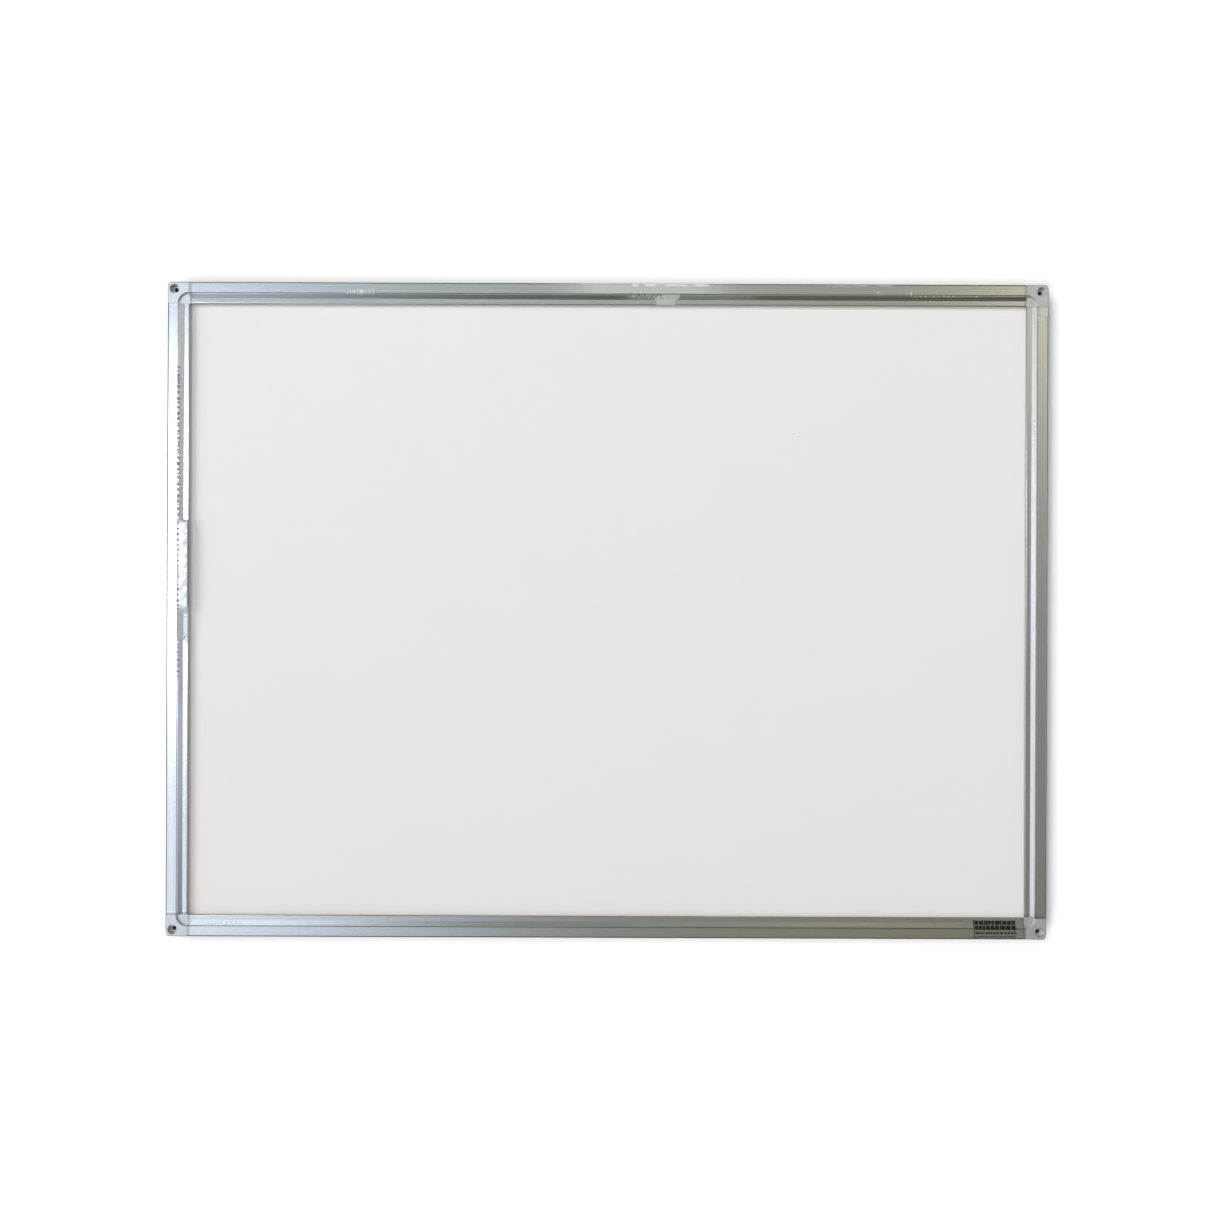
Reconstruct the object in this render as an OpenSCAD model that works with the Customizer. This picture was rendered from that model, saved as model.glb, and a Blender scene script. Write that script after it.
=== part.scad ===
// Framed dry-wipe board for a wall: a laminated panel held in four extruded rails,
// joined by four moulded corner blocks that also carry the wall screws.
// It is drawn lying on its back: X across, Y up the board, Z towards the reader,
// with the wall plane at Z = 0. upright() stands it up to face -Y.

/* [Board] */
// Overall width, over the corner blocks
board_w = 1200; // [400:10:2400]
// Overall height, over the corner blocks
board_h = 892; // [300:2:1200]
// Overall depth, from the wall to the front of the corner blocks
frame_d = 20; // [19:0.5:24]

/* [Rails] */
// Wall thickness of the extrusion
wall_t = 1.4; // [1:0.1:1.6]
// Radius of the outer front edge
edge_r = 2.2; // [1:0.1:3]
// Width of the flat outer band
band_w = 14.4; // [13:0.1:16]
// Depth of the step inside the band
step_d = 1.1; // [0.5:0.1:1.5]
// Width of the face that slopes down towards the panel
slope_w = 5.6; // [5:0.1:8]
// Depth of that slope
slope_d = 2.8; // [2:0.1:4]
// Width of the lower land inside the slope
land_w = 6; // [5:0.1:8]
// Radius of the nose, whose wall goes down to the panel
nose_r = 1.2; // [0.6:0.1:1.6]
// Width of the rear flange behind the panel
flange_w = 12; // [8:1:14]

/* [Panel] */
// Thickness of the lacquered steel writing sheet
sheet_t = 0.4; // [0.3:0.05:0.6]
// Thickness of the honeycomb core
core_t = 7; // [5:0.1:8]
// Thickness of the rear backing sheet
backing_t = 0.25; // [0.2:0.05:0.4]
// Thickness of the foam packing strip behind the panel
packing_t = 0.8; // [0.5:0.1:1]

/* [Corner blocks] */
// Side of the square corner block
pad_w = 28.6; // [27:0.1:29]
// How far the lower lip of the block laps past the pad, along each rail
lap_w = 1; // [0.8:0.1:1.6]
// Radius of the block's outer corner, seen from the front
corner_r = 6.3; // [4:0.1:8]
// How far the block stands proud of the rails
proud = 0.3; // [0.2:0.1:0.5]
// Distance from each outer edge to the centre of the wall-screw hole
hole_inset = 10; // [9.5:0.1:10.5]
// Diameter of the wall-screw hole
hole_d = 6; // [4:0.5:7]
// Diameter of the counterbore for the screw head
counterbore_d = 13; // [10:0.5:13]
// Depth of the counterbore
counterbore_h = 8; // [4:0.5:8]
// Length of each tongue inside its rail
tongue_l = 46; // [36:1:60]

/* [Fasteners, films and label] */
// Distance from the block to the screw that holds the rail on its tongue
screw_at = 22; // [18:1:24]
// Overall length of that self-tapping screw
screw_l = 9.5; // [6.5:0.5:12]
// Thickness of the protective film on the rails
film_t = 0.1; // [0.05:0.05:0.2]
// Length of the sticker on the bottom rail
label_l = 58; // [30:1:80]
// Distance from the corner block to the sticker
label_gap = 12.4; // [5:0.1:40]

/* [Hidden] */
$fn = 64;
seam = 0.15;               // gap where a rail meets a corner block
slide_fit = 0.15;          // gap round a tongue in its rail
arris = 0.5;               // small bevel on square edges
over = 1;                  // how far a cutting shape runs past a face

// Rail section: u runs inwards from the board's outer edge, z forwards from the wall.
rail_z = frame_d - proud;
gutter_z = rail_z - step_d;
band_end = proud + band_w;
step_end = band_end + 0.6;
slope_start = step_end + 1;
slope_end = slope_start + slope_w;
nose_u = slope_end + land_w;
nose_end = nose_u + nose_r;
land_z = gutter_z - slope_d;

// Layers of the panel, from the wall forwards.
packing_z = wall_t;
backing_z = packing_z + packing_t;
core_z = backing_z + backing_t;
sheet_z = core_z + core_t;
panel_z = sheet_z + sheet_t;
panel_u = slope_start + 0.2;

// Hollow of the rail, which takes the tongue.
hollow_u0 = proud + wall_t;
hollow_u1 = slope_start - wall_t;
hollow_z1 = rail_z - wall_t;
hollow_bevel = 2;
hollow_mid = (hollow_u0 + hollow_u1) / 2;

// Corner block.
block_wall = 2;
block_top = 2.8;
lap_start = slope_start + seam;
lap_end = pad_w + lap_w;
recess_draft = 0.6;
boss_d = counterbore_d + 3.2;
boss_low_d = hole_d + 5.2;
floor_z = frame_d - counterbore_h;
rib_t = 1.4;

// Film and sticker.
film_z = 2;                // height at which the film ends on the outer wall
label_t = 0.12;

// Screw.
shank_r = 1.45;
head_r = 3.15;
cone_r = head_r - wall_t;
recess = [3.4, 0.7, 1.1];

// ---- Placing ----

// Turns that bring a piece drawn at the bottom edge to each side of the board.
BOTTOM = 0;
RIGHT = 90;
TOP = 180;
LEFT = 270;

function is_level(turn) = turn % 180 == 0;
function rail_length(turn) = (is_level(turn) ? board_w : board_h) - 2 * (pad_w + seam);

module upright() rotate([90, 0, 0]) children();

// The child lies along X with its outer edge on Y = 0.
module on_side(turn)
    upright()
    rotate(turn)
    translate([0, -(is_level(turn) ? board_h : board_w) / 2, 0])
    children();

// The child has its outer corner at the origin and runs along +X and +Y.
module at_corner(side_x, side_y, turn)
    upright()
    translate([side_x * board_w / 2, side_y * board_h / 2, 0])
    rotate(turn)
    children();

// The child and its mirror image across the corner's diagonal.
module both_ways() {
    children();
    mirror([1, -1, 0]) children();
}

// ---- Sections ----

// Points on an arc, every 9 degrees.
function arc(centre, r, from, to) =
    let (steps = abs(to - from) / 9)
    [for (i = [0 : steps]) let (a = from + (to - from) * i / steps) centre + r * [cos(a), sin(a)]];

function reversed(line) = [for (i = [len(line) - 1 : -1 : 0]) line[i]];

function left_of(a, b) = let (d = (b - a) / norm(b - a)) [-d[1], d[0]];

// A line moved sideways by t, to the left of its direction, with mitred bends.
function beside(line, t) = [
    for (i = [0 : len(line) - 1])
        let (
            last = len(line) - 1,
            before = left_of(line[max(i - 1, 0)], line[max(i, 1)]),
            after = left_of(line[min(i, last - 1)], line[min(i + 1, last)])
        )
        line[i] + t * (before + after) / (1 + before * after)
];

outer_edge = arc([proud + edge_r, rail_z - edge_r], edge_r, 180, 90);
lip_face = [
    [band_end, rail_z], [step_end, gutter_z], [slope_start, gutter_z], [slope_end, land_z]
];
nose = arc([nose_u, land_z - nose_r], nose_r, 90, 0);
lip_under = [
    [nose_end, panel_z], [nose_end - wall_t, panel_z], [nose_end - wall_t, land_z - wall_t],
    [slope_end, land_z - wall_t], [slope_start, gutter_z - wall_t]
];
rear_flange = [
    [slope_start, wall_t], [slope_start + flange_w, wall_t], [slope_start + flange_w, 0]
];

rail_outline = concat(
    [[proud + arris, 0], [proud, arris]], outer_edge, lip_face, nose, lip_under, rear_flange
);

// The rail's hollow, drawn in by a gap all round.
function hollow(gap) = let (bevel = hollow_bevel + gap * (sqrt(2) - 1)) [
    [hollow_u0 + gap, wall_t + gap],
    [hollow_u1 - gap, wall_t + gap],
    [hollow_u1 - gap, hollow_z1 - bevel],
    [hollow_u1 - bevel, hollow_z1 - gap],
    [hollow_u0 + gap, hollow_z1 - gap]
];

// The film wraps from low on the outer wall to the top of the nose's wall.
film_face = concat([[proud, film_z]], outer_edge, lip_face, nose, [[nose_end, land_z - nose_r - 1]]);

label_u0 = proud + edge_r + 0.2;
label_u1 = slope_end + 3.8;
label_face = concat([[label_u0, rail_z]], lip_face, [[label_u1, land_z]]);

function skin(face, from, to) = concat(beside(face, to), reversed(beside(face, from)));

// Extrudes a (u, z) section along X, centred.
module along_x(length) rotate([90, 0, 90]) linear_extrude(length, center = true) children();

// Cuts the lip away at both ends of a rail, from u inwards, down to the panel.
module end_notches(length, u, depth)
    for (end = [-1, 1])
        translate([end * length / 2, u + slope_end, panel_z + frame_d / 2])
            cube([2 * depth, 2 * slope_end, frame_d], center = true);

// Room for the laps of the corner blocks, and on the uprights for the level rails' noses.
module lip_notches(turn) {
    end_notches(rail_length(turn), slope_start, lap_w);
    if (!is_level(turn)) end_notches(rail_length(turn), lap_end, max(lap_w, nose_end - pad_w));
}

// ---- Panel ----

module panel_layer(z, t)
    upright()
    translate([panel_u - board_w / 2, panel_u - board_h / 2, z])
    cube([board_w - 2 * panel_u, board_h - 2 * panel_u, t]);

module writing_sheet() color("white") panel_layer(sheet_z, sheet_t);
module core_board() color("burlywood") panel_layer(core_z, core_t);
module backing_sheet() color("lightsteelblue") panel_layer(backing_z, backing_t);

module packing_strip(turn)
    color("dimgray")
    on_side(turn)
    translate([-rail_length(turn) / 2, panel_u + 1, packing_z])
    cube([rail_length(turn), flange_w - 3, packing_t]);

// ---- Rails ----

module rail(turn) {
    length = rail_length(turn);
    color("silver")
    on_side(turn)
    difference() {
        along_x(length) difference() {
            polygon(rail_outline);
            polygon(hollow(0));
        }
        lip_notches(turn);
        for (end = [-1, 1])
            translate([end * (length / 2 + seam - screw_at), hollow_mid, 0])
                cylinder(h = wall_t, r1 = head_r, r2 = cone_r);
    }
}

module rail_screw(turn, end)
    color("gainsboro")
    on_side(turn)
    translate([end * (rail_length(turn) / 2 + seam - screw_at), hollow_mid, 0])
    difference() {
        union() {
            cylinder(h = wall_t, r1 = head_r, r2 = cone_r);
            translate([0, 0, wall_t]) cylinder(h = slide_fit, r = shank_r);
            translate([0, 0, wall_t + slide_fit])
                cylinder(h = screw_l - wall_t - slide_fit - 2, r = shank_r);
            translate([0, 0, screw_l - 2]) cylinder(h = 2, r1 = shank_r, r2 = 0.2);
        }
        for (turn_slot = [0, 90])
            rotate(turn_slot) cube([recess[0], recess[1], 2 * recess[2]], center = true);
    }

// ---- Corner blocks ----

// Solid block with a rounded outer corner and rounded outer front edges.
module block_body() {
    front_edge = arc([edge_r, frame_d - edge_r], edge_r, 180, 90);
    both_ways()
        translate([(corner_r + pad_w) / 2, 0, 0])
        along_x(pad_w - corner_r)
        polygon(concat([[0, 0]], front_edge, [[pad_w, frame_d], [pad_w, 0]]));
    translate([corner_r, corner_r, 0])
        rotate(180)
        rotate_extrude(angle = 90)
        polygon(concat(
            [[0, 0]], [[0, frame_d]],
            [for (p = reversed(front_edge)) [corner_r - p[0], p[1]]], [[corner_r, 0]]
        ));
}

// Lower lip of the block, drawn tall enough for the recess to trim it.
module lap()
    translate([lap_start, lap_start, panel_z])
    cube([lap_end - lap_start, lap_end - lap_start, gutter_z - panel_z]);

// Recess about the pad's inner corner: a quarter turn with drafted sides, down to the lower lip.
module corner_recess() {
    r = pad_w - band_end;
    depth = frame_d - land_z;
    translate([pad_w, pad_w, land_z])
        cylinder(h = depth + over, r1 = r - recess_draft, r2 = r + recess_draft * over / depth);
}

// Room behind the lip for the corner of the panel and its packing, and under the lip itself.
module panel_room() {
    translate([slope_start, slope_start, wall_t]) cube([pad_w, pad_w, panel_z - wall_t]);
    side = lap_end - block_wall - slope_start;
    translate([slope_start, slope_start, panel_z - over])
        cube([side, side, land_z - block_wall - panel_z + over]);
}

// Hollow back of the block: an L round the panel, with ribs from the boss to the walls.
module back_hollow() {
    ceiling_z = frame_d - block_top;
    hollow_end = band_end - block_wall;
    difference() {
        both_ways()
            translate([block_wall, block_wall, -over])
            cube([pad_w - 2 * block_wall, hollow_end - block_wall, ceiling_z + over]);
        translate([hole_inset, hole_inset, -over]) cylinder(h = frame_d, d = boss_low_d);
        translate([hole_inset, hole_inset, floor_z - block_wall]) cylinder(h = frame_d, d = boss_d);
        both_ways()
            translate([0, hole_inset - rib_t / 2, -over]) cube([pad_w, rib_t, frame_d]);
    }
}

module tongue() {
    reach = pad_w + tongue_l;
    root = pad_w - block_wall;
    low = hollow_u0 + slide_fit;
    high = hollow_u1 - slide_fit;
    tip_l = 4;
    tip_in = 2.5;
    rib = 2;
    screw_x = pad_w + screw_at;
    boss = 4.5;
    difference() {
        intersection() {
            translate([(root + reach) / 2, 0, 0])
                along_x(reach - root)
                polygon(hollow(slide_fit));
            linear_extrude(frame_d) polygon([
                [root, low], [reach - tip_l, low], [reach, low + tip_in],
                [reach, high - tip_in], [reach - tip_l, high], [root, high]
            ]);
        }
        for (span = [[pad_w + rib, screw_x - boss], [screw_x + boss, reach - tip_l - rib]])
            translate([span[0], low + rib, 0])
                cube([span[1] - span[0], high - low - 2 * rib, hollow_z1 - slide_fit - rib]);
        translate([screw_x, hollow_mid, 0]) cylinder(h = screw_l + 0.1, r = shank_r);
    }
}

module corner_block(side_x, side_y, turn)
    color("lightgray")
    at_corner(side_x, side_y, turn) {
        difference() {
            union() {
                block_body();
                lap();
            }
            corner_recess();
            panel_room();
            back_hollow();
            translate([hole_inset, hole_inset, -over]) cylinder(h = frame_d, d = hole_d);
            translate([hole_inset, hole_inset, floor_z])
                cylinder(h = counterbore_h + over, d = counterbore_d);
        }
        both_ways() tongue();
    }

// ---- Films and label ----

module rail_film(turn)
    color([0.85, 0.92, 1, 0.4])
    on_side(turn)
    difference() {
        along_x(rail_length(turn)) polygon(skin(film_face, 0, film_t));
        lip_notches(turn);
    }

module label()
    color([0.15, 0.15, 0.15])
    on_side(BOTTOM)
    translate([board_w / 2 - pad_w - label_gap - label_l / 2, 0, 0])
    along_x(label_l)
    polygon(skin(label_face, film_t, film_t + label_t));

writing_sheet();
core_board();
backing_sheet();
rail(TOP);  // top_rail
rail(BOTTOM);  // bottom_rail
rail(LEFT);  // left_rail
rail(RIGHT);  // right_rail
corner_block(-1, 1, LEFT);  // corner_top_left
corner_block(1, 1, TOP);  // corner_top_right
corner_block(-1, -1, BOTTOM);  // corner_bottom_left
corner_block(1, -1, RIGHT);  // corner_bottom_right
packing_strip(TOP);  // packing_strip_top
packing_strip(BOTTOM);  // packing_strip_bottom
packing_strip(LEFT);  // packing_strip_left
packing_strip(RIGHT);  // packing_strip_right
rail_screw(TOP, 1);  // screw_top_rail_left
rail_screw(TOP, -1);  // screw_top_rail_right
rail_screw(BOTTOM, -1);  // screw_bottom_rail_left
rail_screw(BOTTOM, 1);  // screw_bottom_rail_right
rail_screw(LEFT, -1);  // screw_left_rail_top
rail_screw(LEFT, 1);  // screw_left_rail_bottom
rail_screw(RIGHT, 1);  // screw_right_rail_top
rail_screw(RIGHT, -1);  // screw_right_rail_bottom
rail_film(TOP);  // film_top_rail
rail_film(BOTTOM);  // film_bottom_rail
rail_film(LEFT);  // film_left_rail
rail_film(RIGHT);  // film_right_rail
label();
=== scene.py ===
"""The looks of the framed whiteboard: materials, peel-off films, sticker, light and camera.

Everything is in metres, in the frame of the CAD: X across the board, Y into the wall, Z up.
Small sizes are written in millimetres, times MM.
"""
import math

import bmesh
import bpy
import numpy as np
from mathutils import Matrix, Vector


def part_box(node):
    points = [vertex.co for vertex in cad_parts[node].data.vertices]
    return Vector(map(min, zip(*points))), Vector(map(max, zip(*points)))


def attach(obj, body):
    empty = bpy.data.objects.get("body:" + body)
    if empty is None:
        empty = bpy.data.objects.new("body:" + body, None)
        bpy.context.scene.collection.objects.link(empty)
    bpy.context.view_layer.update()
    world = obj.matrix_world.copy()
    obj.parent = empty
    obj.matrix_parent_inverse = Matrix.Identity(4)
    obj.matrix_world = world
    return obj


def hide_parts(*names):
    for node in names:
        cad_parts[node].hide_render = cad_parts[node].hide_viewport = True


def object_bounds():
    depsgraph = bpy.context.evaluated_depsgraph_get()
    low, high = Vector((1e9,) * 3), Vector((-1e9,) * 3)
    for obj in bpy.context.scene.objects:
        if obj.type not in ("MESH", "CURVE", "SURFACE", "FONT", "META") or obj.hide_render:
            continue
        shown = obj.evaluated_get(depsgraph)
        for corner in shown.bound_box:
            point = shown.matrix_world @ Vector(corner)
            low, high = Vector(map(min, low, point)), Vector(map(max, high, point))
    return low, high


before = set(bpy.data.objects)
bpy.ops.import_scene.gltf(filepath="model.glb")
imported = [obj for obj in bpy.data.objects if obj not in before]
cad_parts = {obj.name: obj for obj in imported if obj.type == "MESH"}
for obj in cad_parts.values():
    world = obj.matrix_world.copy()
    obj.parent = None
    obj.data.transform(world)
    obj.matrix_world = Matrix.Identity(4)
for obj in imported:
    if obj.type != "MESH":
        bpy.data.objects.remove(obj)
cad_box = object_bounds()

MM = 0.001
HALF_W, HALF_H = cad_box[1].x, cad_box[1].z
FRONT_Y = cad_box[0].y

SIDES = ("top", "bottom", "left", "right")
CORNERS = ("top_left", "top_right", "bottom_left", "bottom_right")

# The rail's section, as in the CAD, in mm: u runs inwards from the board's outer edge and
# z forwards from the wall.
PROUD = 0.3
EDGE_R = 2.2
BAND_END = 14.7
STEP_END = 15.3
SLOPE_START = 16.3
SLOPE_END = 21.9
NOSE_U = 27.9
NOSE_R = 1.2
RAIL_Z = 19.7
GUTTER_Z = 18.6
LAND_Z = 15.8
PANEL_Z = 9.85
PAD_W = 28.6
SEAM = 0.15
LAP_W = 1.0
HOLE_INSET = 10
FRONT_FACE = [(PROUD + EDGE_R, RAIL_Z), (BAND_END, RAIL_Z), (STEP_END, GUTTER_Z),
              (SLOPE_START, GUTTER_Z), (SLOPE_END, LAND_Z), (NOSE_U, LAND_Z)]


# ---- Node helpers ----

def new_material(name):
    """An empty node material, its tree and its output's surface socket."""
    material = bpy.data.materials.new(name)
    material.use_nodes = True
    material.node_tree.nodes.clear()
    output = material.node_tree.nodes.new("ShaderNodeOutputMaterial")
    return material, material.node_tree, output.inputs["Surface"]


def add(tree, kind, values=None, **settings):
    """A node of that kind with its settings, and its inputs set to plain values or linked."""
    node = tree.nodes.new(kind)
    for name, value in settings.items():
        setattr(node, name, value)
    for name, value in (values or {}).items():
        if isinstance(value, bpy.types.NodeSocket):
            tree.links.new(value, node.inputs[name])
        else:
            node.inputs[name].default_value = value
    return node


def maths(tree, operation, *values):
    node = add(tree, "ShaderNodeMath", dict(enumerate(values)), operation=operation)
    return node.outputs[0]


def clamped(tree, operation, *values):
    return add(tree, "ShaderNodeClamp", {"Value": maths(tree, operation, *values)}).outputs[0]


def ramp(tree, factor, stops):
    """A colour ramp: stops are (position, (r, g, b)) or (position, grey)."""
    node = add(tree, "ShaderNodeValToRGB", {"Fac": factor})
    elements = node.color_ramp.elements
    while len(elements) < len(stops):
        elements.new(1.0)
    for element, (position, colour) in zip(elements, stops):
        element.position = position
        if not isinstance(colour, tuple):
            colour = (colour,) * 3
        element.color = (*colour, 1.0)
    return node.outputs["Color"]


def place(tree, stretch=(1, 1, 1)):
    """Object coordinates in mm, divided along each axis by stretch."""
    coordinates = add(tree, "ShaderNodeTexCoord").outputs["Object"]
    scale = tuple(1 / (MM * s) for s in stretch)
    return add(tree, "ShaderNodeVectorMath", {0: coordinates, 1: scale}, operation="MULTIPLY").outputs[0]


def noise(tree, where, size, detail=2.0, roughness=0.5):
    """Noise with features of about the given size, 0 to 1."""
    values = {"Vector": where, "Scale": 1 / size, "Detail": detail, "Roughness": roughness}
    return add(tree, "ShaderNodeTexNoise", values).outputs["Fac"]


def between(tree, factor, low, high):
    """Maps 0..1 to low..high."""
    node = add(tree, "ShaderNodeMapRange", {"Value": factor, "To Min": low, "To Max": high})
    return node.outputs["Result"]


def mix_colour(tree, factor, first, second, blend="MIX"):
    """Colours given as sockets or (r, g, b): the first at factor 0 and the second at 1."""
    values = {0: factor}
    for socket, colour in ((6, first), (7, second)):
        values[socket] = (*colour, 1) if isinstance(colour, tuple) else colour
    return add(tree, "ShaderNodeMix", values, data_type="RGBA", blend_type=blend).outputs[2]


def mix_shader(tree, factor, first, second):
    return add(tree, "ShaderNodeMixShader", {0: factor, 1: first, 2: second}).outputs[0]


def bump(tree, height, depth):
    """A normal from a height of 0..1 that stands for depth in mm."""
    values = {"Height": height, "Distance": depth * MM, "Strength": 1.0}
    return add(tree, "ShaderNodeBump", values).outputs["Normal"]


def principled(tree, surface, **values):
    names = {name.replace("_", " ").title().replace("Ior", "IOR"): v for name, v in values.items()}
    node = add(tree, "ShaderNodeBsdfPrincipled", names)
    tree.links.new(node.outputs["BSDF"], surface)
    return node


# ---- Materials ----

def anodised_aluminium(name, along):
    """Satin extrusion, with die lines that run along axis 0 or 2 and faint handling marks."""
    material, tree, surface = new_material(name)
    endless = 6000
    stretch = tuple(endless if axis == along else 1 for axis in range(3))
    lines = place(tree, stretch)
    fine = noise(tree, lines, 0.5, detail=3)
    broad = noise(tree, lines, 3.5, detail=1)
    patches = noise(tree, place(tree), 45, detail=3)
    fine_tint = ramp(tree, fine, [(0.3, (0.775, 0.785, 0.805)), (0.7, (0.865, 0.87, 0.885))])
    broad_tint = ramp(tree, broad, [(0.3, (0.79, 0.8, 0.82)), (0.7, (0.855, 0.86, 0.875))])
    mixed = mix_colour(tree, 0.45, fine_tint, broad_tint)
    rough = maths(tree, "ADD", between(tree, fine, 0.16, 0.21), between(tree, patches, -0.01, 0.03))
    principled(tree, surface, base_color=mixed, metallic=1.0, roughness=rough,
               normal=bump(tree, fine, 0.002))
    return material


def moulded_plastic():
    """Silver-grey moulding with a fine spark-eroded texture and a metallic pigment."""
    material, tree, surface = new_material("corner_plastic")
    where = place(tree)
    grain = noise(tree, where, 0.45, detail=3)
    flow = noise(tree, where, 9, detail=2)
    flakes = noise(tree, where, 1.3, detail=2)
    streaks, sparkle = maths(tree, "MULTIPLY", flow, 0.35), maths(tree, "MULTIPLY", flakes, 0.65)
    tone = maths(tree, "ADD", streaks, sparkle)
    colour = ramp(tree, tone, [(0.35, (0.67, 0.69, 0.72)), (0.65, (0.75, 0.77, 0.8))])
    principled(tree, surface, base_color=colour, metallic=0.72,
               roughness=between(tree, grain, 0.28, 0.4), normal=bump(tree, grain, 0.03))
    return material


def lacquered_sheet():
    """Off-white dry-wipe lacquer: faint orange peel, wiped smudges and one small speck."""
    material, tree, surface = new_material("writing_surface")
    where = place(tree)
    smudge = noise(tree, place(tree, (2.5, 1, 1)), 70, detail=4, roughness=0.6)
    clouds = noise(tree, where, 260, detail=2)
    peel = noise(tree, where, 2.2, detail=2)
    tint = ramp(tree, clouds, [(0.3, (0.811, 0.773, 0.758)), (0.7, (0.817, 0.779, 0.764))])
    speck_at = (255, -PANEL_Z, 243)
    gap = add(tree, "ShaderNodeVectorMath", {0: where, 1: speck_at}, operation="DISTANCE")
    speck = ramp(tree, gap.outputs["Value"], [(0.5, 0.35), (0.95, 1.0)])
    colour = mix_colour(tree, 1.0, tint, speck, blend="MULTIPLY")
    rough = between(tree, smudge, 0.42, 0.52)
    principled(tree, surface, base_color=colour, roughness=rough, specular_ior_level=0.35,
               normal=bump(tree, peel, 0.006))
    return material


def galvanised_steel():
    """Zinc spangle on the backing sheet."""
    material, tree, surface = new_material("backing")
    where = place(tree)
    wobble = add(tree, "ShaderNodeTexNoise", {"Vector": where, "Scale": 1 / 14, "Detail": 2.0})
    bent = add(tree, "ShaderNodeVectorMath", {0: wobble.outputs["Color"], 1: (12, 12, 12), 2: where},
               operation="MULTIPLY_ADD").outputs[0]
    crystals = add(tree, "ShaderNodeTexVoronoi", {"Vector": bent, "Scale": 1 / 10})
    shade = add(tree, "ShaderNodeSeparateColor", {"Color": crystals.outputs["Color"]}).outputs["Red"]
    frost = noise(tree, where, 1.2, detail=3)
    colour = ramp(tree, shade, [(0.0, (0.56, 0.575, 0.59)), (1.0, (0.68, 0.69, 0.695))])
    rough = maths(tree, "ADD", between(tree, shade, 0.32, 0.46), between(tree, frost, -0.04, 0.04))
    principled(tree, surface, base_color=colour, metallic=0.85, roughness=rough,
               normal=bump(tree, frost, 0.01))
    return material


def honeycomb_paper():
    """Kraft paper cells of the core."""
    material, tree, surface = new_material("core")
    where = place(tree)
    cells = add(tree, "ShaderNodeTexVoronoi", {"Vector": where, "Scale": 1 / 12},
                feature="DISTANCE_TO_EDGE").outputs["Distance"]
    fibre = noise(tree, where, 0.8, detail=4)
    walls = ramp(tree, cells, [(0.03, (0.66, 0.51, 0.35)), (0.09, (0.42, 0.3, 0.19))])
    colour = mix_colour(tree, between(tree, fibre, 0.0, 0.5), walls, (0.58, 0.45, 0.31))
    principled(tree, surface, base_color=colour, roughness=0.9, normal=bump(tree, fibre, 0.05))
    return material


def closed_cell_foam():
    material, tree, surface = new_material("packing_foam")
    where = place(tree)
    pores = add(tree, "ShaderNodeTexVoronoi", {"Vector": where, "Scale": 1 / 0.7}).outputs["Distance"]
    dust = noise(tree, where, 6, detail=3)
    colour = ramp(tree, dust, [(0.3, 0.07), (0.8, 0.13)])
    principled(tree, surface, base_color=colour, roughness=0.85, normal=bump(tree, pores, 0.12))
    return material


def zinc_plate():
    material, tree, surface = new_material("screw_steel")
    where = place(tree)
    passivation = noise(tree, where, 2.5, detail=2)
    scratches = noise(tree, where, 0.3, detail=3)
    colour = ramp(tree, passivation, [(0.3, (0.62, 0.64, 0.66)), (0.7, (0.74, 0.73, 0.68))])
    principled(tree, surface, base_color=colour, metallic=1.0,
               roughness=between(tree, scratches, 0.22, 0.42), normal=bump(tree, scratches, 0.01))
    return material


def clear_skin(name, milk_sheen_tint):
    """Thin clear plastic: what lies under it shows through, under its own sharp reflection.

    One mesh attribute mixes in a lit milky layer of the given tint, which paints highlights where the
    film is crumpled or bulged; the other darkens it, painted shade where it is pleated, which also
    takes away its reflection.
    """
    material, tree, surface = new_material(name)
    where = place(tree)
    wrinkle = noise(tree, where, 3.5, detail=3)
    scuffs = noise(tree, where, 1.5, detail=3)
    # Two mesh attributes: a lit milky layer that paints highlights, and painted shade.
    haze_and_highlight = add(tree, "ShaderNodeAttribute", attribute_name="haze_and_highlight").outputs["Fac"]
    fold_and_shade = add(tree, "ShaderNodeAttribute", attribute_name="fold_and_shade").outputs["Fac"]
    normal = bump(tree, wrinkle, 0.008)
    facing = add(tree, "ShaderNodeFresnel", {"IOR": 1.5, "Normal": normal}).outputs[0]
    both_faces = 1.9
    # Painted shade: where the film is pleated or darkened it also loses its reflection.
    unfolded = maths(tree, "SUBTRACT", both_faces, maths(tree, "MULTIPLY", fold_and_shade, both_faces))
    gleam = clamped(tree, "MULTIPLY", facing, unfolded)
    mirror = add(tree, "ShaderNodeBsdfPrincipled", {
        "Base Color": (0.95, 0.96, 0.96, 1), "Metallic": 1.0, "Normal": normal,
        "Roughness": between(tree, scuffs, 0.03, 0.1),
    }).outputs["BSDF"]
    # A lit milky layer that paints highlights, turned near black as painted shade where pleated.
    milky_sheen = add(tree, "ShaderNodeBsdfPrincipled", {
        "Base Color": mix_colour(tree, fold_and_shade, milk_sheen_tint, (0.05, 0.055, 0.08)), "Normal": normal,
        "Roughness": between(tree, scuffs, 0.35, 0.5), "Specular IOR Level": 0.15,
    }).outputs["BSDF"]
    clear = add(tree, "ShaderNodeBsdfTransparent", {"Color": (0.98, 0.985, 0.99, 1)}).outputs[0]
    body = mix_shader(tree, clamped(tree, "ADD", haze_and_highlight, fold_and_shade), clear, milky_sheen)
    tree.links.new(mix_shader(tree, gleam, body, mirror), surface)
    return material


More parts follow.
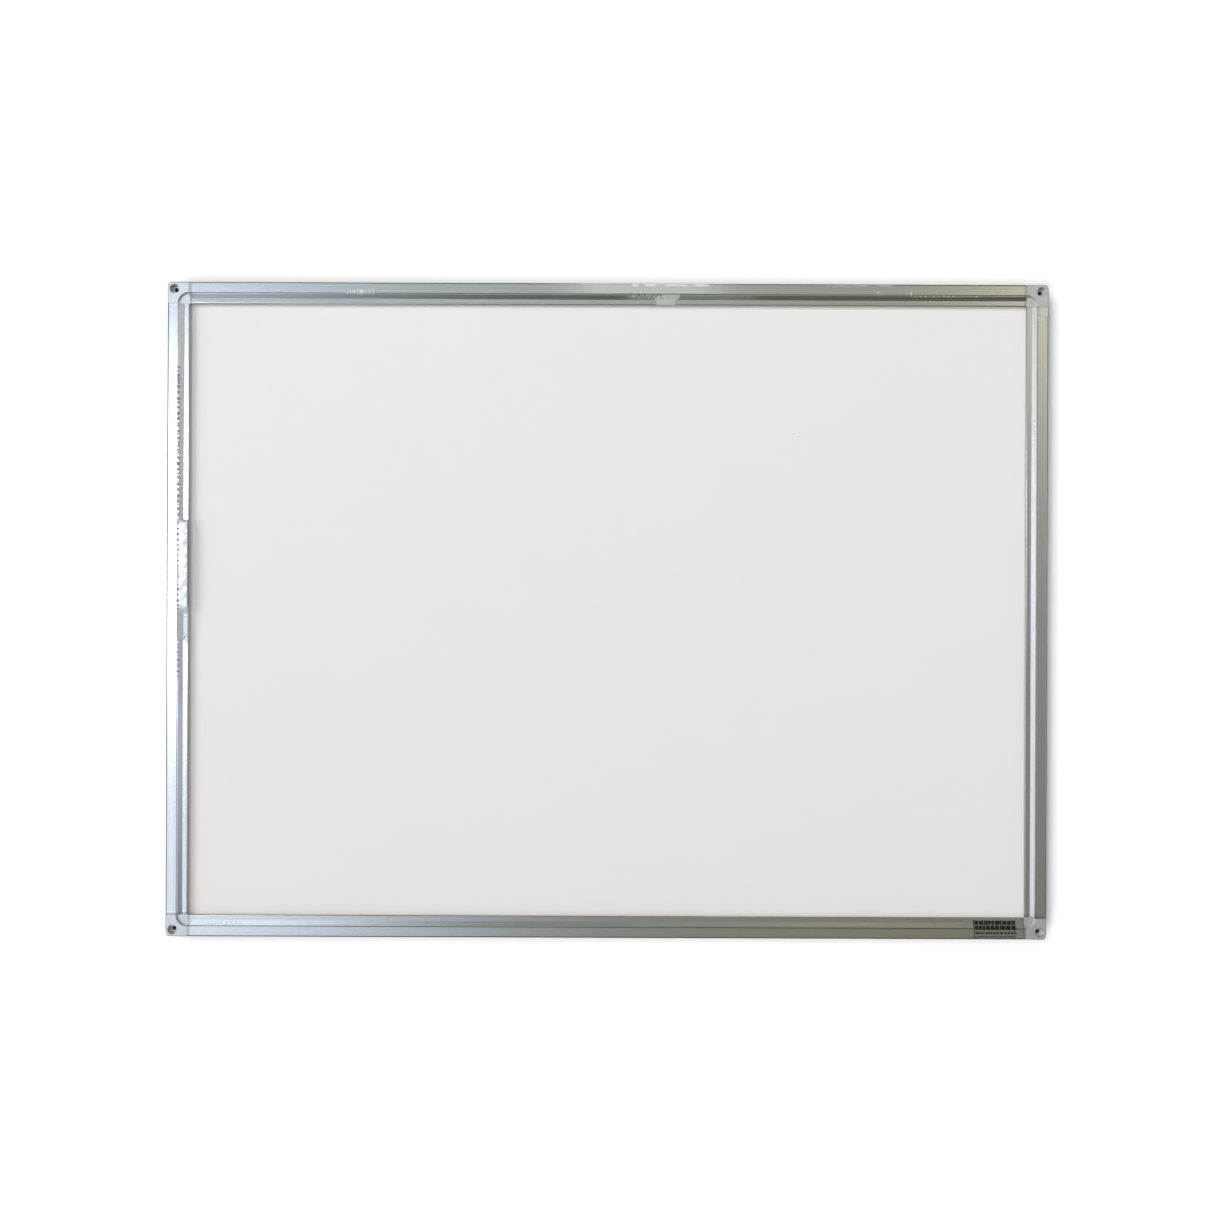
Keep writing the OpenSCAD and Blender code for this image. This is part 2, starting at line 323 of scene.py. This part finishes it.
def printed_ink():
    material, tree, surface = new_material("sticker_ink")
    where = place(tree)
    wear = noise(tree, where, 1.1, detail=4)
    colour = ramp(tree, wear, [(0.35, (0.008, 0.008, 0.007)), (0.75, (0.03, 0.03, 0.027))])
    principled(tree, surface, base_color=colour, roughness=between(tree, wear, 0.35, 0.5),
               specular_ior_level=0.25, normal=bump(tree, wear, 0.004))
    return material


# ---- Sheets that lie on a rail ----

def arc(centre, radius, start, end, steps):
    angles = np.radians(np.linspace(start, end, steps + 1))
    return [(centre[0] + radius * math.cos(a), centre[1] + radius * math.sin(a)) for a in angles]


def spread(points, spacing):
    """Points along a polyline, no further apart than spacing, with the given ones kept."""
    out = [points[0]]
    for a, b in zip(points, points[1:]):
        steps = max(1, math.ceil(math.dist(a, b) / spacing))
        out += [(a[0] + (b[0] - a[0]) * k / steps, a[1] + (b[1] - a[1]) * k / steps)
                for k in range(1, steps + 1)]
    return out


def crisp(points, reach=0.15):
    """The polyline with a point just before and just after each bend, so that it stays sharp."""
    out = [points[0]]
    for before, bend, after in zip(points, points[1:], points[2:]):
        near = [tuple(np.add(bend, np.subtract(end, bend) * reach / math.dist(bend, end)))
                for end in (before, after)]
        out += [near[0], bend, near[1]]
    return out + [points[-1]]


def rail_face():
    """The rail's face from low on its outer wall to the top of its nose's wall, as (u, z) in mm."""
    film_foot = 2.0
    return (
        spread([(PROUD, film_foot), (PROUD, RAIL_Z - EDGE_R)], 4.0)[:-1]
        + arc((PROUD + EDGE_R, RAIL_Z - EDGE_R), EDGE_R, 180, 90, 6)[:-1]
        + spread(crisp(FRONT_FACE), 1.0)[:-1]
        + arc((NOSE_U, LAND_Z - NOSE_R), NOSE_R, 90, 0, 4)
        + [(NOSE_U + NOSE_R, LAND_Z - NOSE_R - 1)]
    )


def normals_of(points):
    """Unit normals of a (u, z) polyline, to the left of its direction, averaged at its bends."""
    points = np.array(points)
    along = np.diff(points, axis=0)
    along /= np.linalg.norm(along, axis=1)[:, None]
    sides = np.stack([-along[:, 1], along[:, 0]], axis=1)
    joined = np.vstack([sides[:1], sides[:-1] + sides[1:], sides[-1:]])
    return joined / np.linalg.norm(joined, axis=1)[:, None]


def to_board(side, s, u, z):
    """Board coordinates of a point s along a side (in mm from its middle, right or up)."""
    s, u, z = np.broadcast_arrays(s, u, z)
    inwards = {"top": HALF_H / MM - u, "bottom": u - HALF_H / MM,
               "left": u - HALF_W / MM, "right": HALF_W / MM - u}[side]
    pair = (s, -z, inwards) if side in ("top", "bottom") else (inwards, -z, s)
    return np.stack(pair, axis=-1) * MM


def shell(name, side, s, points, lift, rise, thickness):
    """A closed thin sheet over a rail.

    s holds the stations along the rail and points those across it. Two grids in mm say how far
    each point stands off the rail's face (lift) and straight out from the wall (rise).
    """
    points = np.array(points)
    normals = normals_of(points)
    rows, columns = lift.shape
    layers = []
    for height in (lift, lift + thickness):
        u = points[:, 0] + normals[:, 0] * height
        z = points[:, 1] + normals[:, 1] * height + rise
        layers.append(to_board(side, np.asarray(s)[:, None], u, z).reshape(-1, 3))
    index = np.arange(rows * columns).reshape(rows, columns)
    cells = (index[:-1, :-1], index[1:, :-1], index[1:, 1:], index[:-1, 1:])
    quads = np.stack(cells, axis=-1).reshape(-1, 4)
    upper = rows * columns
    rim = np.concatenate([index[0, :], index[1:, -1], index[-1, -2::-1], index[-2:0:-1, 0]])
    beyond = np.roll(rim, -1)
    edge = np.stack([rim, beyond, beyond + upper, rim + upper], axis=-1)
    mesh = bpy.data.meshes.new(name)
    mesh.from_pydata(np.concatenate(layers).tolist(), [],
                     np.concatenate([quads[:, ::-1], quads + upper, edge]).tolist())
    piece = bpy.data.objects.new(name, mesh)
    bpy.context.scene.collection.objects.link(piece)
    outwards(mesh)
    mesh.shade_smooth()
    return piece


def paint(piece, name, values):
    """Stores a grid of values on both layers of a shell as a mesh attribute."""
    attribute = piece.data.attributes.new(name, "FLOAT", "POINT")
    attribute.data.foreach_set("value", np.concatenate([values.ravel()] * 2).astype(np.float32))


def outwards(mesh):
    """Turns the faces of a closed mesh outwards."""
    work = bmesh.new()
    work.from_mesh(mesh)
    bmesh.ops.recalc_face_normals(work, faces=work.faces)
    work.to_mesh(mesh)
    work.free()


# ---- Films ----

def hump(value, centre, width):
    """1 at the centre, falling smoothly to 0 at width either side."""
    t = np.clip(np.abs(value - centre) / width, 0, 1)
    return (1 + np.cos(np.pi * t)) / 2


def plateau(value, start, end, fade):
    """1 between start and end, fading to 0 over fade beyond them."""
    t = np.clip(np.minimum(value - start, end - value) / fade + 1, 0, 1)
    return t * t * (3 - 2 * t)


def waviness(seed, s, u, longest, shortest, count=8):
    """Smooth random waves, about -1 to 1, from a fixed seed."""
    draw = np.random.default_rng(seed)
    total = np.zeros(np.broadcast(s, u).shape)
    for _ in range(count):
        length = math.exp(draw.uniform(math.log(shortest), math.log(longest)))
        angle = draw.uniform(-0.9, 0.9)
        phase = draw.uniform(0, 2 * math.pi)
        total += np.sin(2 * math.pi * (s * math.cos(angle) + u * math.sin(angle)) / length + phase)
    return total / math.sqrt(count)


# Marks along each film: (kind, start, end, strength), in mm from the rail's middle.
#   pleats: small gathers in the step, with painted shade in them
#   balloon: the film bridges the step and the slope, painted white as a highlight
#   ripples: short waves over the slope, with painted highlights on them
#   ticks: short creases on the band's inner edge, with painted highlights
#   edge: a painted highlight along the outer edge
#   glints: painted glints, bright specks where the slope starts
#   cloud_sheen: a painted sheen, a paler milky stretch of band
#   veil_sheen: a painted sheen, a paler milky stretch of slope
#   shade: painted shade over a stretch of land
#   sag: loose film lifted over slope and land, painted grey as shade
FILM_MARKS = {
    "left": [("veil_sheen", 125, 440, 0.8), ("pleats", 125, 330, 0.8), ("pleats", -5, 118, 1.0),
             ("balloon", 2, 116, 1.0), ("sag", -37, 0, 1.0), ("veil_sheen", -110, -34, 0.4),
             ("ripples", -78, -34, 0.5), ("pleats", -90, -45, 0.45), ("ripples", 120, 300, 0.35)],
    "top": [("shade", -540, -330, 0.22), ("ticks", -358, -320, 0.9), ("cloud_sheen", -10, 110, 0.38),
            ("edge", 36, 134, 1.0), ("pleats", 30, 72, 1.0), ("ripples", 34, 74, 1.0),
            ("sag", 72, 92, 0.45), ("veil_sheen", 60, 170, 0.3), ("edge", 300, 392, 0.6),
            ("ticks", 366, 374, 0.4), ("ticks", 408, 414, 0.4), ("glints", 415, 507, 1.0)],
    "right": [("ripples", 200, 260, 0.3), ("ticks", 395, 415, 0.6), ("edge", 404, 412, 1.0)],
    "bottom": [("ripples", -540, -500, 0.3), ("ripples", 30, 120, 0.25)],
}
# Tints of the films' painted highlights and sheen: bluish on the left rail, greenish elsewhere.
MILK_SHEEN_TINTS = {"left": (0.84, 0.89, 1.0)}
MILK_SHEEN_TINT = (0.88, 0.94, 0.86)
FILM_T = 0.06


def film_shape(side, seed, s, points):
    """The lift and rise of a film at each station and point, with its painted highlights and painted
    shade.
    """
    s, u, z = s[:, None], points[:, 0][None, :], points[:, 1][None, :]
    lift = 0.03 + 0.01 * (1 + waviness(seed, s, u, 150, 40))
    rise, haze_and_highlight, fold_and_shade = (np.zeros(lift.shape) for _ in range(3))
    crumple = waviness(seed + 1, s, u, 7, 2.4)
    swell = waviness(seed + 2, s, u, 40, 9)
    jagged = waviness(seed + 3, s, 0 * u, 9, 2.6)
    fine = waviness(seed + 4, s, 0 * u, 4, 2.2)
    for kind, start, end, strength in FILM_MARKS[side]:
        if kind == "pleats":
            here = plateau(s, start, end, 5) * strength
            # Painted shade in the pleats.
            fold_and_shade += here * np.clip(hump(u, STEP_END + 0.3, 2.4) * (2.6 * jagged + 0.2), 0, 1)
        elif kind == "ripples":
            here = plateau(s, start, end, 8) * strength
            lift += here * hump(u, 18.5, 5.5) * 0.14 * (1 + crumple)
            # Painted highlights on the ripples.
            haze_and_highlight += here * hump(u, 18.5, 5) * 0.3 * np.clip(crumple, 0, 1)
        elif kind == "ticks":
            here = plateau(s, start, end, 3) * strength
            lift += here * hump(u, BAND_END - 3, 4) * 0.12 * (1 + crumple)
            # Painted highlights on the creases.
            haze_and_highlight += here * np.clip(hump(u, BAND_END - 1.8, 4.5) * 3 * (fine - 0.1), 0, 1)
        elif kind == "glints":
            here = plateau(s, start, end, 3) * strength
            # Painted glints where the slope starts.
            haze_and_highlight += here * hump(u, SLOPE_START, 1.8) * np.clip(0.6 * jagged - 0.1, 0, 0.5)
        elif kind == "edge":
            here = plateau(s, start, end, 6) * strength * np.clip(0.6 + 0.35 * swell, 0, 1)
            # A painted highlight along the outer edge.
            haze_and_highlight += here * hump(u, PROUD + 2.4, 1.3)
        elif kind == "cloud_sheen":
            here = plateau(s, start, end, 90) * strength
            # A painted sheen over the band.
            haze_and_highlight += here * plateau(u, 1, BAND_END - 0.5, 0.5)
        elif kind == "shade":
            # Painted shade over the land.
            fold_and_shade += plateau(s, start, end, 60) * strength * plateau(u, SLOPE_END, NOSE_U + 1, 0.8)
        elif kind == "veil_sheen":
            here = plateau(s, start, end, min(60, (end - start) / 2)) * strength
            here = here * plateau(u, STEP_END + 0.6, SLOPE_END, 0.5)
            # A painted sheen over the slope.
            haze_and_highlight += here * 0.3 * (1 + 0.15 * crumple)
        elif kind == "sag":
            slant = 0.3 * (u - SLOPE_END)
            here = plateau(s, start + 4 * swell - slant, end + 3 * swell - slant, 7) * strength
            here = here * plateau(u, STEP_END + 0.4, NOSE_U + 0.8, 0.8)
            lift += here * 0.3
            # The loose film is painted grey: painted shade.
            haze_and_highlight += here * 0.62
            fold_and_shade += here * 0.38 * (1 + 0.1 * crumple)
        elif kind == "balloon":
            here = plateau(s, start, end, 9 + 3 * jagged)
            front = RAIL_Z - 0.05 - 0.03 * (u - BAND_END) * (1 + 0.5 * swell)
            over_lip = plateau(u, BAND_END + 0.2, NOSE_U + 0.4, 0.8)
            rise = np.maximum(rise, here * over_lip * np.maximum(front - z, 0) * strength)
            lift += here * over_lip * 0.03 * (1 + crumple)
            # The bulged film is painted white: a painted highlight.
            haze_and_highlight += here * over_lip * 0.75
    return np.maximum(lift, 0.02), rise, np.clip(haze_and_highlight, 0, 1), np.clip(fold_and_shade, 0, 1)


def stations(half, marks):
    """Places along a film in mm: close together in its marks and wide apart elsewhere."""
    close, wide = 1.0, 5.0
    coarse = np.linspace(-half, half, 2 * math.ceil(half / wide) + 1)
    fine = [np.arange(start - 12, end + 12, close) for _, start, end, _ in marks]
    every = np.unique(np.round(np.concatenate([coarse[1:-1], *fine]), 0))
    return np.concatenate([[-half], every[np.abs(every) < half - close], [half]])


def rail_half_length(side):
    whole = HALF_W if side in ("top", "bottom") else HALF_H
    return whole / MM - PAD_W - SEAM


def film(number, side):
    """The film of one side, with its own seed."""
    half = rail_half_length(side) - LAP_W
    points = np.array(rail_face())
    s = stations(half, FILM_MARKS[side])
    lift, rise, haze_and_highlight, fold_and_shade = film_shape(side, 10 * number + 3, s, points)
    piece = shell(f"film_{side}", side, s, points, lift, rise, FILM_T)
    paint(piece, "haze_and_highlight", haze_and_highlight)
    paint(piece, "fold_and_shade", fold_and_shade)
    piece.data.materials.append(clear_skin(f"film_{side}", MILK_SHEEN_TINTS.get(side, MILK_SHEEN_TINT)))
    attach(piece, "root")
    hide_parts(f"film_{side}_rail")


# ---- Sticker ----

def face_between(start, end):
    """The part of the rail's face between two values of u."""
    points = spread(FRONT_FACE, 0.3)
    inside = [p for p in points if start < p[0] < end]
    first, last = (float(z) for z in np.interp((start, end), *zip(*points)))
    return [(start, first), *inside, (end, last)]


def sticker(clear, ink):
    """A clear carrier with four rows of plain dark bars printed on it, which say nothing."""
    low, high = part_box("label")
    start, end = low.x / MM, high.x / MM
    across = (2.8, 25.6)
    margin = 1
    carrier_lift, carrier_t, ink_t = 0.16, 0.06, 0.02
    ink_lift = carrier_lift + carrier_t + 0.02

    def strip(name, s0, s1, u0, u1, lift, thickness, material):
        points = face_between(u0, u1)
        s = np.linspace(s0, s1, max(3, round((s1 - s0) / 2) + 1))
        heights = np.full((len(s), len(points)), lift)
        piece = shell(name, "bottom", s, points, heights, 0 * heights, thickness)
        piece.data.materials.append(material)
        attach(piece, "root")
        return piece

    carrier = strip("sticker_carrier", start, end, *across, carrier_lift, carrier_t, clear)
    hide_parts("label")
    rows = [  # (u from, u to, bars, gap between bars as a share of a bar)
        (19.7, 24.9, 10, 0.14),
        (13.7, 18.9, 9, 0.14),
        (8.0, 10.6, 13, 0.35),
        (3.6, 5.0, 22, 0.4),
    ]
    draw = np.random.default_rng(7)
    for row, (u0, u1, count, gap) in enumerate(rows):
        widths = draw.uniform(0.6, 1.4, count)
        ends = start + margin + np.cumsum(widths) / widths.sum() * (end - start - 2 * margin)
        for bar, (s1, width) in enumerate(zip(ends, np.diff(ends, prepend=start + margin))):
            name = f"sticker_bar_{row}_{bar}"
            strip(name, s1 - width * (1 - gap), s1, u0, u1, ink_lift, ink_t, ink)


# ---- Stage ----

FLOOR_Z = -1.35


def plane(name, corners, material):
    mesh = bpy.data.meshes.new(name)
    mesh.from_pydata(corners, [], [(0, 1, 2, 3)])
    piece = bpy.data.objects.new(name, mesh)
    piece.data.materials.append(material)
    bpy.context.scene.collection.objects.link(piece)
    return piece


def one_way(name, colour):
    """Matt paint that is clear from behind, so that the back of the board can be looked at."""
    material, tree, surface = new_material(name)
    front = add(tree, "ShaderNodeBsdfDiffuse", {"Color": (*colour, 1)}).outputs[0]
    behind = add(tree, "ShaderNodeBsdfTransparent").outputs[0]
    side = add(tree, "ShaderNodeNewGeometry").outputs["Backfacing"]
    tree.links.new(mix_shader(tree, side, front, behind), surface)
    return material


def wall():
    """A white wall just behind the board, seen by the camera only."""
    y, reach, low, high = 1.5 * MM, 5.0, FLOOR_Z, 4.0
    outline = [(-reach, y, low), (reach, y, low), (reach, y, high), (-reach, y, high)]
    piece = plane("wall", outline, one_way("wall_paint", (0.6, 0.6, 0.6)))
    for kind in ("diffuse", "glossy", "transmission", "shadow", "volume_scatter"):
        setattr(piece, f"visible_{kind}", False)
    return piece


def floor():
    material, tree, surface = new_material("floor_paint")
    principled(tree, surface, base_color=(0.8, 0.8, 0.79, 1), roughness=0.7)
    reach = 8.0
    square = ((-reach, -reach), (reach, -reach), (reach, reach), (-reach, reach))
    piece = plane("floor", [(x, y, FLOOR_Z) for x, y in square], material)
    piece.visible_glossy = False
    return piece


def shade_behind_holes():
    """Painted shade behind the four screw holes: near-black squares just in front of the wall."""
    material = one_way("drilled_wall", (0.015, 0.014, 0.013))
    half, y = 5.5 * MM, 0.5 * MM
    for corner in CORNERS:
        x = (HALF_W - HOLE_INSET * MM) * (1 if corner.endswith("right") else -1)
        z = (HALF_H - HOLE_INSET * MM) * (1 if corner.startswith("top") else -1)
        plane(f"drilled_{corner}", [(x - half, y, z - half), (x + half, y, z - half),
                                    (x + half, y, z + half), (x - half, y, z + half)], material)


# Soft patches of light in the room: azimuth and elevation as seen from the board, in degrees
# (0, 0 is straight in front and left is negative), half width in degrees, and colour.
ROOM = [
    (-20, 3, 5, (9, 9.9, 10.9)),           # bright window
    (-31, 10, 12, (0.8, 0.78, 0.76)),      # glow round it
    (-31, -10, 13, (0.56, 0.58, 0.58)),
    (-21, 18, 7, (0.04, 0.12, 0.28)),      # bluish wall above it
    (-23, 37, 7, (1.3, 1.4, 1.5)),         # ceiling next to it
    (-20, -16, 13.5, (0.58, 0.65, 0.78)),  # floor below it
    (-27, -38, 8, (0.46, 0.52, 0.62)),
    (-6, 20, 15, (0.36, 0.39, 0.37)),      # ceiling in front of the board
    (10, 17, 11, (0.16, 0.18, 0.13)),
    (16, 38, 11, (0.22, 0.22, 0.17)),
    (26, 16, 6, (1.0, 0.82, 0.52)),        # beige wall on the right
    (25, 9, 10, (0.13, 0.12, 0.08)),
    (34, 10, 9, (0.66, 0.62, 0.74)),       # daylight on the wall further right
    (38, -4, 12, (0.44, 0.46, 0.58)),
    (32, -7, 3, (0.2, 0.2, 0.28)),
    (10, -14, 16, (0.17, 0.15, 0.1)),      # floor on the right
]
DIM = (0.1, 0.1, 0.08)
BEHIND = (0.8, 0.8, 0.8)
BACKDROP = (0.92, 0.92, 0.92)


def direction(azimuth, elevation):
    a, e = math.radians(azimuth), math.radians(elevation)
    return Vector((math.sin(a) * math.cos(e), -math.cos(a) * math.cos(e), math.sin(e)))


def room():
    """The world: dim with soft bright patches in front of the board, pale behind it, not seen itself."""
    world = bpy.data.worlds.new("room")
    bpy.context.scene.world = world
    world.use_nodes = True
    tree = world.node_tree
    tree.nodes.clear()
    where = add(tree, "ShaderNodeTexCoord").outputs["Generated"]
    total = DIM
    for azimuth, elevation, width, colour in ROOM:
        turned = add(tree, "ShaderNodeVectorMath", {0: where, 1: direction(azimuth, elevation)},
                     operation="DOT_PRODUCT")
        past_centre = maths(tree, "SUBTRACT", turned.outputs["Value"], 1.0)
        fall = maths(tree, "DIVIDE", past_centre, 1 - math.cos(math.radians(width)))
        strength = maths(tree, "EXPONENT", fall)
        total = add(tree, "ShaderNodeVectorMath", {0: strength, 1: colour, 2: total},
                    operation="MULTIPLY_ADD").outputs[0]
    y = add(tree, "ShaderNodeSeparateXYZ", {0: where}).outputs["Y"]
    past = add(tree, "ShaderNodeMapRange", {"Value": y, "From Min": -0.05, "From Max": 0.1})
    around = mix_colour(tree, past.outputs["Result"], total, BEHIND)
    seen = add(tree, "ShaderNodeLightPath").outputs["Is Camera Ray"]
    colour = mix_colour(tree, seen, around, BACKDROP)
    background = add(tree, "ShaderNodeBackground", {"Color": colour}).outputs[0]
    output = add(tree, "ShaderNodeOutputWorld")
    tree.links.new(background, output.inputs["Surface"])


def lamp(name, kind, azimuth, elevation, distance):
    """A lamp turned to the board's middle. It lights matt surfaces; the room is what metal reflects."""
    data = bpy.data.lights.new(name, kind)
    piece = bpy.data.objects.new(name, data)
    piece.location = distance * direction(azimuth, elevation)
    piece.rotation_euler = piece.location.to_track_quat("Z", "Y").to_euler()
    piece.visible_camera = piece.visible_glossy = False
    bpy.context.scene.collection.objects.link(piece)
    return piece


def distant_light(name, azimuth, elevation, width, share):
    """Light from width degrees of far-off wall, which gives the panel that share of full white."""
    piece = lamp(name, "SUN", azimuth, elevation, 3.0)
    piece.data.angle = math.radians(width)
    piece.data.energy = math.pi * share / abs(direction(azimuth, elevation).y)
    return piece


def near_light(name, azimuth, elevation, distance, size, share):
    """A round soft light, near enough to fall off across the board."""
    piece = lamp(name, "AREA", azimuth, elevation, distance)
    piece.data.shape = "DISK"
    piece.data.size = size
    piece.data.energy = share * (math.pi * distance)**2 / abs(direction(azimuth, elevation).y)
    return piece


def group_of(piece, state):
    """A collection for light linking with only that piece ("INCLUDE"), or all but it ("EXCLUDE")."""
    group = bpy.data.collections.new(f"{piece.name}_{state.lower()}")
    group.objects.link(piece)
    group.collection_objects[0].light_linking.link_state = state
    return group


def camera():
    """Square on to the board, a hair above its middle and a hair askew, as in the photo."""
    distance, height, roll = 1.55, 5 * MM, math.radians(-0.22)
    share_of_width, sensor = 0.7266, 36.0
    data = bpy.data.cameras.new("camera")
    data.sensor_width = sensor
    data.lens = sensor * share_of_width * (distance + FRONT_Y) / (2 * HALF_W)
    eye = bpy.data.objects.new("camera", data)
    eye.location = (0.0, -distance, height)
    eye.rotation_euler = (math.pi / 2, roll, 0)
    bpy.context.scene.collection.objects.link(eye)
    bpy.context.scene.camera = eye


# ---- Put together ----

def dress(node, material):
    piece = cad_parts[node]
    piece.data.materials.clear()
    piece.data.materials.append(material)


level = anodised_aluminium("rail_level", 0)
upright = anodised_aluminium("rail_upright", 2)
plastic = moulded_plastic()
foam = closed_cell_foam()
zinc = zinc_plate()

dress("writing_sheet", lacquered_sheet())
dress("core_board", honeycomb_paper())
dress("backing_sheet", galvanised_steel())
for side in SIDES:
    dress(f"{side}_rail", level if side in ("top", "bottom") else upright)
    dress(f"packing_strip_{side}", foam)
for corner in CORNERS:
    dress(f"corner_{corner}", plastic)
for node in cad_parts:
    if node.startswith("screw_"):
        dress(node, zinc)

for number, side in enumerate(SIDES):
    film(number, side)
sticker(clear_skin("sticker_film", (0.9, 0.92, 0.9)), printed_ink())

backdrop, ground = wall(), floor()
shade_behind_holes()
room()
# The wall has its own lights, which keep it white and give it the photo's soft shadow.
room_lights = [distant_light("window", -60, 4, 30, 0.36),
               near_light("ceiling", -12, 35, 7.0, 3.6, 0.2)]
wall_lights = [distant_light("wall_from_below", -46, -34, 46, 0.68),
               distant_light("wall_from_above", -46, 32, 46, 0.72),
               distant_light("wall_from_right", 50, 0, 48, 0.2)]
all_but_wall, only_wall = group_of(backdrop, "EXCLUDE"), group_of(backdrop, "INCLUDE")
all_but_floor = group_of(ground, "EXCLUDE")
for light in room_lights:
    light.light_linking.receiver_collection = all_but_wall
for light in wall_lights:
    light.light_linking.receiver_collection = only_wall
    light.light_linking.blocker_collection = all_but_floor
camera()
bpy.context.scene.view_settings.view_transform = "Standard"
